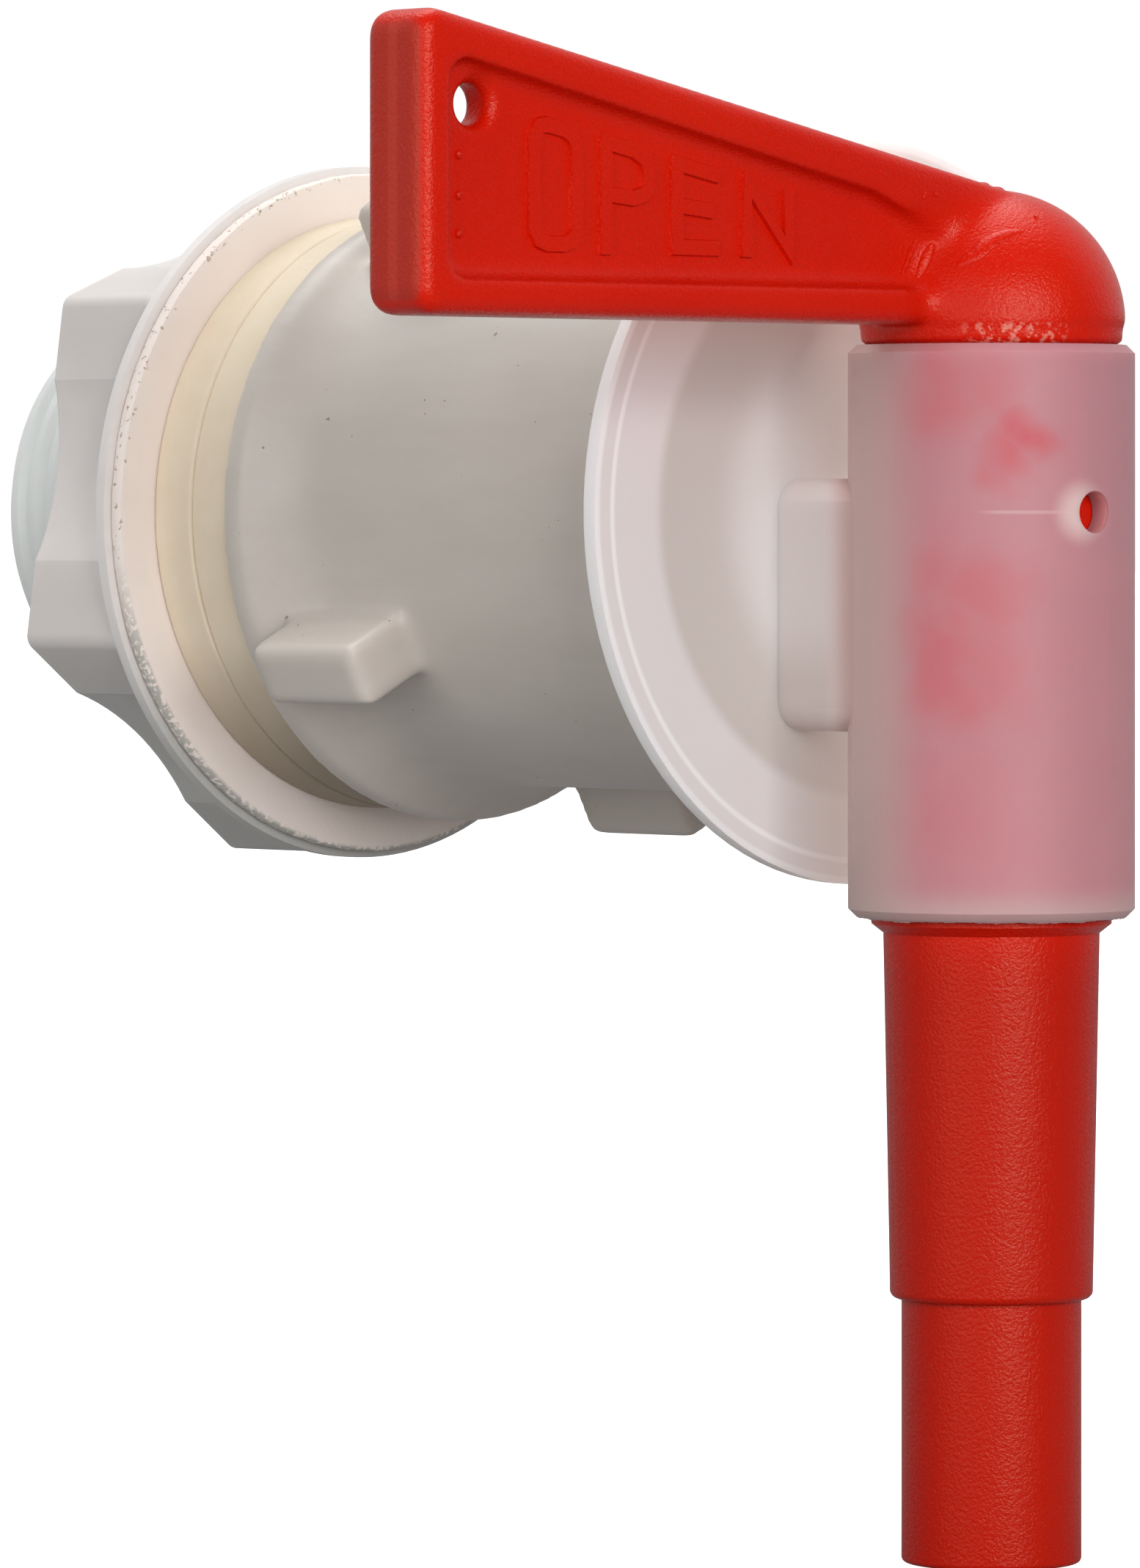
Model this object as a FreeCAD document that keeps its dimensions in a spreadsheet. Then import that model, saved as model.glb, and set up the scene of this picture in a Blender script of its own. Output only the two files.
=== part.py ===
import FreeCAD, Part
import math
import os
import Sketcher

# Bottling spigot: a plug tap for a fermenting bucket or carboy. A red plug with a
# lever on top and a stepped spout below turns in the upright sleeve of a moulded
# body. The body's threaded stem goes through the container wall and carries, from
# the disc back, a lugged clamp collar, two gaskets, a flat washer and a hand nut.
#
# Frame, in millimetres: the origin is on the stem axis, on the face between the two
# gaskets, where the container's wall goes. +Y runs along the stem into the container,
# +Z is up along the plug, and the lever points along -X.

SIZES = [
    # alias, value, what it is
    ("stem_radius", 12.0, "threaded stem, over the thread crests (M24 x 1.5)"),
    ("stem_bore_radius", 10.2, "liquid passage inside the stem"),
    ("stem_free_end", 9.7, "stem beyond the rear face of the nut"),
    ("stem_chamfer", 0.7, "lead-in on the stem end"),
    ("disc_radius", 20.25, "thin round disc in front of the collar"),
    ("disc_thickness", 0.85, "disc thickness at its rim"),
    ("front_wall", 2.0, "disc centre, from the front of the disc to the stem bore"),
    ("neck_reach", 9.55, "plug axis to the front of the disc"),
    ("neck_half_width", 6.7, "box-shaped neck, half width"),
    ("neck_top", 1.8, "neck, top face above the stem axis"),
    ("neck_bottom", 11.8, "neck, bottom face below the stem axis"),
    ("neck_round", 1.7, "rounding of the neck's long edges"),
    ("duct_half_width", 4.0, "passage through the neck, half width"),
    ("duct_top", 0.6, "top of the passage below the stem axis"),
    ("duct_bottom", 9.2, "bottom of the passage below the stem axis"),
    ("duct_round", 1.2, "corner rounding of the passage"),
    ("sleeve_radius", 7.7, "upright sleeve, outside"),
    ("sleeve_wall", 1.2, "sleeve wall"),
    ("sleeve_top", 8.95, "top of the sleeve above the stem axis"),
    ("sleeve_bottom", 21.7, "bottom of the sleeve below the stem axis"),
    ("sleeve_top_chamfer", 0.45, "outer chamfer at the top of the sleeve"),
    ("sleeve_bottom_chamfer", 0.45, "outer chamfer at the bottom of the sleeve"),
    ("vent_radius", 1.13, "round hole in the front of the sleeve, on the stem axis"),
    ("plug_clearance", 0.05, "radial running clearance of the plug in the sleeve"),
    ("ring_lift", 0.05, "gap between the sleeve and the lever's neck ring"),
    ("ring_radius", 7.03, "neck ring under the lever"),
    ("dome_radius", 7.2, "round boss of the lever over the plug"),
    ("dome_base", 10.1, "underside of the boss above the stem axis"),
    ("plug_tail", 0.35, "plug below the sleeve before it tapers to the spout"),
    ("plug_taper", 0.5, "height of that taper"),
    ("spout_top_radius", 5.81, "upper spout where it leaves the plug"),
    ("spout_low_radius", 5.45, "upper spout at the shoulder"),
    ("shoulder_depth", 42.15, "shoulder of the spout below the stem axis"),
    ("shoulder_round", 0.45, "rounding of the shoulder"),
    ("tip_radius", 4.83, "lower spout, fits a 3/8 inch hose"),
    ("tip_depth", 56.3, "open end of the spout below the stem axis"),
    ("tip_round", 0.3, "rounding of the open end"),
    ("tip_bore_radius", 3.6, "bore of the lower spout"),
    ("plug_bore_radius", 4.3, "bore of the upper spout and the plug"),
    ("bore_step_depth", 41.0, "step between the two bores below the stem axis"),
    ("plug_roof", 1.5, "bore above the top of the passage"),
    ("paddle_length", 43.2, "plug axis to the free end of the lever"),
    ("paddle_thickness", 4.6, "lever thickness over its border"),
    ("paddle_underside", 9.95, "bottom edge of the lever above the stem axis"),
    ("paddle_tip_height", 25.75, "top edge above the stem axis, at the free end"),
    ("paddle_root_height", 17.15, "top edge above the stem axis, over the plug"),
    ("paddle_corner", 1.3, "corner radius of the free end"),
    ("paddle_edge_round", 0.9, "rounding of the lever's long edges"),
    ("recess_depth", 1.2, "panel on each side below the border"),
    ("recess_border", 1.93, "border width at the free end"),
    ("recess_top_border", 2.1, "border width along the top edge"),
    ("recess_low_border", 1.85, "border width along the bottom edge"),
    ("recess_bend", 10.9, "plug axis to where the panel's top edge turns down"),
    ("recess_bend_height", 16.9, "that bend above the stem axis"),
    ("recess_root", 4.0, "plug axis to the inner end of the panel, inside the boss"),
    ("recess_root_height", 14.1, "top of the panel's inner end above the stem axis"),
    ("recess_round", 1.3, "corner radius of the panel"),
    ("recess_cove", 0.95, "hollow rounding between the panel and its border"),
    ("hang_hole_radius", 1.08, "small hole through the panel"),
    ("hang_hole_inset", 4.6, "hole centre from the free end"),
    ("hang_hole_height", 20.7, "hole centre above the stem axis"),
    ("hang_hole_flare", 0.4, "depth of the flared mouth of the hole"),
    ("collar_length", 32.5, "clamp collar, end to end"),
    ("collar_radius", 15.5, "clamp collar, barrel"),
    ("collar_flange_radius", 17.6, "clamp collar, rear flange"),
    ("collar_flange_width", 1.6, "straight edge of the rear flange"),
    ("collar_flare_radius", 7.7, "hollow curve from the barrel to the flange"),
    ("collar_turn", 27.4, "first lug, degrees from the top towards the lever"),
    ("lug_count", 4, "lugs round the collar"),
    ("lug_width", 3.7, "lug width"),
    ("lug_reach", 20.1, "stem axis to the top of a lug"),
    ("lug_length", 8.5, "lug length along the collar"),
    ("lug_setback", 3.4, "rear end of a lug to the rear face of the collar"),
    ("lug_round", 0.6, "rounding of the lugs"),
    ("seat_clearance", 0.1, "radial gap of the loose pieces round the stem"),
    ("gasket_radius", 17.0, "rubber gaskets, outside"),
    ("gasket_thickness", 3.2, "rubber gaskets, thickness"),
    ("gasket_round", 0.3, "rounding of the gaskets' outer edges"),
    ("washer_radius", 19.55, "flat washer, outside"),
    ("washer_thickness", 0.9, "flat washer, thickness"),
    ("nut_radius", 19.9, "hand nut over its lobes, and its flange"),
    ("nut_length", 8.8, "hand nut, front face to rear face"),
    ("nut_flange", 0.7, "thin round flange of the nut next to the washer"),
    ("nut_turn", 52.0, "first lobe, degrees from the top towards the lever"),
    ("lobe_count", 6, "lobes of the nut"),
    ("nut_flat", 17.2, "stem axis to the flats that meet at the lobes"),
    ("scallop_floor", 16.3, "stem axis to the bottom of the scallop in a flat"),
    ("scallop_radius", 15.5, "radius of each scallop"),
    ("scallop_cove", 2.5, "hollow rounding where a scallop runs out on the flange"),
    ("lobe_round", 0.9, "rounding of the lobes' long edges"),
    ("nut_edge_round", 0.35, "rounding of the nut's rear edge"),
    ("nut_lead_in", 0.6, "chamfer at the nut's bore"),
]

FULL_TURN = 360.0
TOUCH = 0.01

doc = FreeCAD.newDocument("bottling_spigot")
sheet = doc.addObject("Spreadsheet::Sheet", "sizes")
for row, (alias, value, meaning) in enumerate(SIZES, start=1):
    sheet.set("A%d" % row, alias)
    sheet.set("B%d" % row, str(value))
    sheet.set("C%d" % row, meaning)
    sheet.setAlias("B%d" % row, alias)
doc.recompute()

# Places along the stem that several pieces share. Everything in front of the origin
# is stacked forwards from the front gasket, and the rest backwards from the rear one.
COLLAR_BACK = "-sizes.gasket_thickness"
COLLAR_FRONT = "(%s - sizes.collar_length)" % COLLAR_BACK
DISC_FRONT = "(%s - sizes.disc_thickness)" % COLLAR_FRONT
PLUG_AXIS = "(%s - sizes.neck_reach)" % DISC_FRONT
STEM_BORE_FLOOR = "(%s + sizes.front_wall)" % DISC_FRONT
WASHER_FRONT = "sizes.gasket_thickness"
NUT_FRONT = "(%s + sizes.washer_thickness)" % WASHER_FRONT
NUT_BACK = "(%s + sizes.nut_length)" % NUT_FRONT
STEM_END = "(%s + sizes.stem_free_end)" % NUT_BACK
SEAT_RADIUS = "(sizes.stem_radius + sizes.seat_clearance)"
PLUG_RADIUS = "(sizes.sleeve_radius - sizes.sleeve_wall - sizes.plug_clearance)"


def value(expression):
    """The number that an expression of the sheet gives now."""
    return float(sheet.evalExpression(expression))


def new_sketch(body, name, role):
    """A sketch on one of the body's own origin planes."""
    sketch = body.newObject("Sketcher::SketchObject", name)
    plane = [f for f in body.Origin.OriginFeatures if f.Role == role][0]
    sketch.AttachmentSupport = [(plane, "")]
    sketch.MapMode = "FlatFace"
    return sketch


def profile_sketch(body, name):
    """A section through the stem axis: sketch x is the frame's Y, sketch y is Z."""
    return new_sketch(body, name, "YZ_Plane")


def cross_sketch(body, name, y_place):
    """A sketch square to the stem at a place on Y: sketch x is X, sketch y is Z."""
    sketch = new_sketch(body, name, "XZ_Plane")
    sketch.setExpression("AttachmentOffset.Base.z", "-(%s)" % y_place)
    return sketch


def level_sketch(body, name, z_place):
    """A horizontal sketch at a height: sketch x is X, sketch y is Y."""
    sketch = new_sketch(body, name, "XY_Plane")
    sketch.setExpression("AttachmentOffset.Base.z", z_place)
    return sketch


def fix_point(sketch, geometry, end, x, y):
    """Hold one point of a sketch at two expressions, or on an axis where one is 0."""
    label = "g%d_%d" % (geometry, end)
    if x == "0":
        sketch.addConstraint(Sketcher.Constraint("PointOnObject", geometry, end, -2))
    else:
        number = sketch.addConstraint(
            Sketcher.Constraint("DistanceX", -1, 1, geometry, end, value(x)))
        sketch.renameConstraint(number, label + "_x")
        sketch.setExpression("Constraints.%s_x" % label, x)
    if y == "0":
        sketch.addConstraint(Sketcher.Constraint("PointOnObject", geometry, end, -1))
    else:
        number = sketch.addConstraint(
            Sketcher.Constraint("DistanceY", -1, 1, geometry, end, value(y)))
        sketch.renameConstraint(number, label + "_y")
        sketch.setExpression("Constraints.%s_y" % label, y)


def add_edge(sketch, start, end, bow):
    """A line, or an arc with its centre to the left or right; gives its two ends."""
    first = FreeCAD.Vector(value(start[0]), value(start[1]), 0)
    last = FreeCAD.Vector(value(end[0]), value(end[1]), 0)
    if bow is None:
        return sketch.addGeometry(Part.LineSegment(first, last)), 1, 2
    radius_name, side = bow
    radius = value(radius_name)
    chord = last - first
    rise = math.sqrt(max(radius ** 2 - chord.Length ** 2 / 4, 0.0))
    normal = FreeCAD.Vector(-chord.y, chord.x, 0).normalize()
    turn = 1 if side == "left" else -1
    centre = (first + last) * 0.5 + normal * (rise * turn)
    angles = [math.atan2(p.y - centre.y, p.x - centre.x) for p in (first, last)]
    if turn < 0:
        angles.reverse()
    circle = Part.Circle(centre, FreeCAD.Vector(0, 0, 1), radius)
    arc = sketch.addGeometry(Part.ArcOfCircle(circle, angles[0], angles[1]))
    number = sketch.addConstraint(Sketcher.Constraint("Radius", arc, radius))
    sketch.renameConstraint(number, "g%d_radius" % arc)
    sketch.setExpression("Constraints.g%d_radius" % arc, radius_name)
    return (arc, 1, 2) if turn > 0 else (arc, 2, 1)


def outline(sketch, corners):
    """A closed outline. Each corner is x, y and, where an arc leaves it, (radius, side)."""
    edges = []
    for here, following in zip(corners, corners[1:] + corners[:1]):
        bow = here[2] if len(here) > 2 else None
        edges.append(add_edge(sketch, here, following, bow))
    for here, following in zip(edges, edges[1:] + edges[:1]):
        sketch.addConstraint(
            Sketcher.Constraint("Coincident", here[0], here[2], following[0], following[1]))
    for corner, edge in zip(corners, edges):
        fix_point(sketch, edge[0], edge[1], corner[0], corner[1])


def rounded_rectangle(sketch, left, low, right, high, radius):
    """A rectangle with arcs of one radius at its corners."""
    bow = (radius, "left")
    outline(sketch, [
        ("%s + %s" % (left, radius), low),
        ("%s - %s" % (right, radius), low, bow),
        (right, "%s + %s" % (low, radius)),
        (right, "%s - %s" % (high, radius), bow),
        ("%s - %s" % (right, radius), high),
        ("%s + %s" % (left, radius), high, bow),
        (left, "%s - %s" % (high, radius)),
        (left, "%s + %s" % (low, radius), bow),
    ])


def ring_outline(sketch, radius, x="0", y="0"):
    """A circle with its centre at two expressions."""
    centre = FreeCAD.Vector(value(x), value(y), 0)
    circle = sketch.addGeometry(Part.Circle(centre, FreeCAD.Vector(0, 0, 1), value(radius)))
    fix_point(sketch, circle, 3, x, y)
    number = sketch.addConstraint(Sketcher.Constraint("Radius", circle, value(radius)))
    sketch.renameConstraint(number, "g%d_radius" % circle)
    sketch.setExpression("Constraints.g%d_radius" % circle, radius)


def revolve(body, name, sketch, axis, cut=False):
    """Material added, or cut away, round the sketch's own horizontal or vertical axis."""
    kind = "Groove" if cut else "Revolution"
    feature = body.newObject("PartDesign::" + kind, name)
    feature.Profile = sketch
    feature.ReferenceAxis = (sketch, [axis])
    feature.Angle = FULL_TURN
    doc.recompute()
    return feature


def extrude(body, kind, name, sketch, length, back=False, both_ways=False):
    """A pad or a pocket of a length, checked to have added or removed material."""
    before = body.Shape.Volume if body.Tip else 0.0
    feature = body.newObject("PartDesign::" + kind, name)
    feature.Profile = sketch
    feature.Type = 0
    feature.setExpression("Length", length)
    feature.Reversed = back
    feature.Midplane = both_ways
    doc.recompute()
    change = body.Shape.Volume - before
    if (change <= 0) if kind == "Pad" else (change >= 0):
        raise RuntimeError("%s changes the volume by %.4f" % (name, change))
    return feature


def repeat(body, name, feature, count):
    """Copies of a feature round the stem axis."""
    pattern = body.newObject("PartDesign::PolarPattern", name)
    pattern.Originals = [feature]
    axis = [f for f in body.Origin.OriginFeatures if f.Role == "Y_Axis"][0]
    pattern.Axis = (axis, [""])
    pattern.Angle = FULL_TURN
    pattern.setExpression("Occurrences", count)
    body.Tip = pattern
    doc.recompute()
    return pattern


def edges_where(body, test):
    """The names of the edges of the body's solid that a test on an edge picks."""
    return ["Edge%d" % (i + 1) for i, edge in enumerate(body.Shape.Edges) if test(edge)]


def dress(body, kind, name, size, test):
    """A fillet or a chamfer on the edges that a test picks."""
    names = edges_where(body, test)
    if not names:
        raise RuntimeError(name + " finds no edge")
    base = body.Tip
    feature = body.newObject("PartDesign::" + kind, name)
    feature.Base = (base, names)
    feature.setExpression("Radius" if kind == "Fillet" else "Size", size)
    doc.recompute()
    return feature


def curve_of(edge):
    """The edge's curve, or None where two surfaces meet in a free curve."""
    try:
        return edge.Curve
    except TypeError:
        return None


def circle_at(edge, axis, place, radius):
    """True for a full circle round an axis (0 X, 1 Y, 2 Z) at a place along it."""
    curve = curve_of(edge)
    if not isinstance(curve, Part.Circle) or not edge.isClosed():
        return False
    return (abs(abs(curve.Axis[axis]) - 1) < TOUCH
            and abs(curve.Center[axis] - value(place)) < TOUCH
            and abs(curve.Radius - value(radius)) < TOUCH)


def runs_along(edge, axis):
    """True for a straight edge along one axis of the frame."""
    curve = curve_of(edge)
    return isinstance(curve, Part.Line) and abs(abs(curve.Direction[axis]) - 1) < TOUCH


def new_body(name):
    """A body whose label is the name of its piece."""
    body = doc.addObject("PartDesign::Body", name)
    body.Label = name
    return body


def make_ring(name, front, thickness, radius, edge_round=None):
    """A flat ring round the stem, from a place on Y towards the container."""
    body = new_body(name)
    sketch = cross_sketch(body, name + "_section", front)
    ring_outline(sketch, radius)
    ring_outline(sketch, SEAT_RADIUS)
    extrude(body, "Pad", name + "_pad", sketch, thickness, back=True)
    if edge_round:
        back = "(%s + %s)" % (front, thickness)
        dress(body, "Fillet", name + "_edges", edge_round,
              lambda e: circle_at(e, 1, front, radius) or circle_at(e, 1, back, radius))
    return body


def make_tap_body():
    """One translucent moulding: sleeve, box neck, disc and hollow threaded stem."""
    body = new_body("tap_body")

    stem = profile_sketch(body, "stem_profile")
    outline(stem, [
        (DISC_FRONT, "0"),
        (STEM_BORE_FLOOR, "0"),
        (STEM_BORE_FLOOR, "sizes.stem_bore_radius"),
        (STEM_END, "sizes.stem_bore_radius"),
        (STEM_END, "sizes.stem_radius - sizes.stem_chamfer"),
        ("%s - sizes.stem_chamfer" % STEM_END, "sizes.stem_radius"),
        (COLLAR_FRONT, "sizes.stem_radius"),
        (COLLAR_FRONT, "sizes.disc_radius"),
        (DISC_FRONT, "sizes.disc_radius"),
    ])
    revolve(body, "stem_and_disc", stem, "H_Axis")

    neck = cross_sketch(body, "neck_section", PLUG_AXIS)
    rounded_rectangle(neck, "-sizes.neck_half_width", "-sizes.neck_bottom",
                      "sizes.neck_half_width", "sizes.neck_top", "sizes.neck_round")
    extrude(body, "Pad", "neck", neck, "sizes.neck_reach + sizes.disc_thickness", back=True)

    sleeve = level_sketch(body, "sleeve_section", "-sizes.sleeve_bottom")
    ring_outline(sleeve, "sizes.sleeve_radius", y=PLUG_AXIS)
    extrude(body, "Pad", "sleeve", sleeve, "sizes.sleeve_bottom + sizes.sleeve_top")

    for place, size in (("sizes.sleeve_top", "sizes.sleeve_top_chamfer"),
                        ("-sizes.sleeve_bottom", "sizes.sleeve_bottom_chamfer")):
        dress(body, "Chamfer", "sleeve_end_" + size.split("_")[1], size,
              lambda e: circle_at(e, 2, place, "sizes.sleeve_radius"))

    bore = level_sketch(body, "sleeve_bore_section", "-sizes.sleeve_bottom")
    ring_outline(bore, "sizes.sleeve_radius - sizes.sleeve_wall", y=PLUG_AXIS)
    extrude(body, "Pocket", "sleeve_bore", bore,
            "sizes.sleeve_bottom + sizes.sleeve_top", back=True)

    duct = cross_sketch(body, "duct_section", PLUG_AXIS)
    rounded_rectangle(duct, "-sizes.duct_half_width", "-sizes.duct_bottom",
                      "sizes.duct_half_width", "-sizes.duct_top", "sizes.duct_round")
    extrude(body, "Pocket", "duct", duct, "sizes.neck_reach + sizes.front_wall")

    vent = cross_sketch(body, "vent_section", PLUG_AXIS)
    ring_outline(vent, "sizes.vent_radius")
    extrude(body, "Pocket", "vent", vent, "sizes.sleeve_radius", back=True)
    return body


def make_lever_spout():
    """One red moulding: lever, plug with its port, and hollow stepped spout."""
    body = new_body("lever_spout")
    ring_foot = "sizes.sleeve_top + sizes.ring_lift"
    plug_foot = "-sizes.sleeve_bottom - sizes.plug_tail"

    paddle = cross_sketch(body, "paddle_outline", PLUG_AXIS)
    outline(paddle, [
        ("0", "sizes.paddle_underside"),
        ("0", "sizes.paddle_root_height"),
        ("-sizes.paddle_length", "sizes.paddle_tip_height"),
        ("-sizes.paddle_length", "sizes.paddle_underside"),
    ])
    extrude(body, "Pad", "paddle", paddle, "sizes.paddle_thickness", both_ways=True)

    tip = -value("sizes.paddle_length")
    dress(body, "Fillet", "paddle_corners", "sizes.paddle_corner",
          lambda e: runs_along(e, 1) and abs(e.CenterOfMass.x - tip) < TOUCH)

    half = value("sizes.paddle_thickness") / 2
    side_planes = [value(PLUG_AXIS) - half, value(PLUG_AXIS) + half]

    def on_paddle_rim(edge):
        """Edges of the two side faces, all but those at the inner end."""
        box = edge.BoundBox
        flat = any(abs(box.YMin - y) < TOUCH and abs(box.YMax - y) < TOUCH for y in side_planes)
        return flat and edge.CenterOfMass.x < -TOUCH

    dress(body, "Fillet", "paddle_edges", "sizes.paddle_edge_round", on_paddle_rim)

    slope = "((sizes.paddle_tip_height - sizes.paddle_root_height) / sizes.paddle_length)"
    panel_left = "(-sizes.paddle_length + sizes.recess_border)"
    panel_low = "(sizes.paddle_underside + sizes.recess_low_border)"
    panel_top = ("(sizes.paddle_root_height - sizes.recess_top_border"
                 " + %s * (sizes.paddle_length - sizes.recess_border))" % slope)
    for side, sign in (("front", "-"), ("rear", "+")):
        face = "%s %s sizes.paddle_thickness / 2" % (PLUG_AXIS, sign)
        panel = cross_sketch(body, side + "_panel_outline", face)
        outline(panel, [
            (panel_left, panel_low),
            ("-sizes.recess_root", panel_low),
            ("-sizes.recess_root", "sizes.recess_root_height"),
            ("-sizes.recess_bend", "sizes.recess_bend_height"),
            (panel_left, panel_top),
        ])
        extrude(body, "Pocket", side + "_panel", panel, "sizes.recess_depth",
                back=side == "rear")

    depth = value("sizes.recess_depth")
    floors = [side_planes[0] + depth, side_planes[1] - depth]
    panel_end = -value("sizes.recess_root")

    def panel_corner(edge):
        """Short edges across the lever at the corners of the panels."""
        box = edge.BoundBox
        shallow = box.YMax < floors[0] + TOUCH or box.YMin > floors[1] - TOUCH
        inside = edge.CenterOfMass.x < panel_end - TOUCH
        return runs_along(edge, 1) and shallow and inside and box.YLength < depth + TOUCH

    def panel_foot(edge):
        """Edges round the panels' floors, all but those at the inner end."""
        box = edge.BoundBox
        flat = any(abs(box.YMin - y) < TOUCH and abs(box.YMax - y) < TOUCH for y in floors)
        return flat and edge.CenterOfMass.x < panel_end - TOUCH

    dress(body, "Fillet", "panel_corners", "sizes.recess_round", panel_corner)
    dress(body, "Fillet", "panel_coves", "sizes.recess_cove", panel_foot)

    turned = profile_sketch(body, "plug_profile")
    turned.setExpression("AttachmentOffset.Base.x", PLUG_AXIS)
    shoulder_bow = ("sizes.shoulder_round", "left")
    tip_bow = ("sizes.tip_round", "left")
    outline(turned, [
        ("0", "sizes.dome_base + sizes.dome_radius", ("sizes.dome_radius", "left")),
        ("-sizes.dome_radius", "sizes.dome_base"),
        ("-sizes.ring_radius", "sizes.dome_base"),
        ("-sizes.ring_radius", ring_foot),
        ("-" + PLUG_RADIUS, ring_foot),
        ("-" + PLUG_RADIUS, plug_foot),
        ("-sizes.spout_top_radius", plug_foot + " - sizes.plug_taper"),
        ("-sizes.spout_low_radius", "-sizes.shoulder_depth + sizes.shoulder_round", shoulder_bow),
        ("-sizes.spout_low_radius + sizes.shoulder_round", "-sizes.shoulder_depth"),
        ("-sizes.tip_radius", "-sizes.shoulder_depth"),
        ("-sizes.tip_radius", "-sizes.tip_depth + sizes.tip_round", tip_bow),
        ("-sizes.tip_radius + sizes.tip_round", "-sizes.tip_depth"),
        ("-sizes.tip_bore_radius", "-sizes.tip_depth"),
        ("-sizes.tip_bore_radius", "-sizes.bore_step_depth"),
        ("-sizes.plug_bore_radius", "-sizes.bore_step_depth"),
        ("-sizes.plug_bore_radius", "-sizes.duct_top + sizes.plug_roof"),
        ("0", "-sizes.duct_top + sizes.plug_roof"),
    ])
    revolve(body, "plug_and_spout", turned, "V_Axis")

    hole = level_sketch(body, "hang_hole_section", "sizes.hang_hole_height")
    hole.setExpression("AttachmentOffset.Base.x", "-sizes.paddle_length + sizes.hang_hole_inset")
    hole.setExpression("AttachmentOffset.Base.y", PLUG_AXIS)
    neck = "(sizes.paddle_thickness / 2 - sizes.recess_depth - sizes.hang_hole_flare)"
    mouth = "(%s + 2 * sizes.hang_hole_flare)" % neck
    wide = "(sizes.hang_hole_radius + 2 * sizes.hang_hole_flare)"
    outline(hole, [
        ("0", "-" + mouth),
        (wide, "-" + mouth),
        ("sizes.hang_hole_radius", "-" + neck),
        ("sizes.hang_hole_radius", neck),
        (wide, mouth),
        ("0", mouth),
    ])
    revolve(body, "hang_hole", hole, "V_Axis", cut=True)

    port = cross_sketch(body, "port_section", PLUG_AXIS)
    rounded_rectangle(port, "-sizes.duct_half_width", "-sizes.duct_bottom",
                      "sizes.duct_half_width", "-sizes.duct_top", "sizes.duct_round")
    extrude(body, "Pocket", "port", port, "sizes.sleeve_radius")
    return body


def make_clamp_collar():
    """A long round collar with a flared rear flange and four lugs to turn it by."""
    body = new_body("clamp_collar")
    rise = "(sizes.collar_flange_radius - sizes.collar_radius)"
    flange_front = "(%s - sizes.collar_flange_width)" % COLLAR_BACK
    run = "sqrt(sizes.collar_flare_radius ^ 2 - (sizes.collar_flare_radius - %s) ^ 2)" % rise
    flare_start = "(%s - %s)" % (flange_front, run)

    barrel = profile_sketch(body, "collar_profile")
    outline(barrel, [
        (COLLAR_FRONT, SEAT_RADIUS),
        (COLLAR_BACK, SEAT_RADIUS),
        (COLLAR_BACK, "sizes.collar_flange_radius"),
        (flange_front, "sizes.collar_flange_radius", ("sizes.collar_flare_radius", "right")),
        (flare_start, "sizes.collar_radius"),
        (COLLAR_FRONT, "sizes.collar_radius"),
    ])
    revolve(body, "collar_barrel", barrel, "H_Axis")

    lug_front = "(%s - sizes.lug_setback - sizes.lug_length)" % COLLAR_BACK
    lug = cross_sketch(body, "lug_section", lug_front)
    outline(lug, [
        ("-sizes.lug_width / 2", SEAT_RADIUS + " + sizes.seat_clearance"),
        ("sizes.lug_width / 2", SEAT_RADIUS + " + sizes.seat_clearance"),
        ("sizes.lug_width / 2", "sizes.lug_reach"),
        ("-sizes.lug_width / 2", "sizes.lug_reach"),
    ])
    one = extrude(body, "Pad", "lug", lug, "sizes.lug_length", back=True)
    repeat(body, "lugs", one, "sizes.lug_count")

    reach = value("sizes.lug_reach")
    flange = value("sizes.collar_flange_radius")

    def on_lug_top(edge):
        """Edges of the lugs' outer faces."""
        ends = [math.hypot(v.X, v.Z) for v in edge.Vertexes]
        return min(ends) > max(flange, reach * 0.95)

    dress(body, "Fillet", "lug_edges", "sizes.lug_round", on_lug_top)
    body.Placement = FreeCAD.Placement(
        FreeCAD.Vector(), FreeCAD.Rotation(FreeCAD.Vector(0, -1, 0), 0))
    body.setExpression("Placement.Rotation.Angle", "sizes.collar_turn")
    return body


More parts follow.
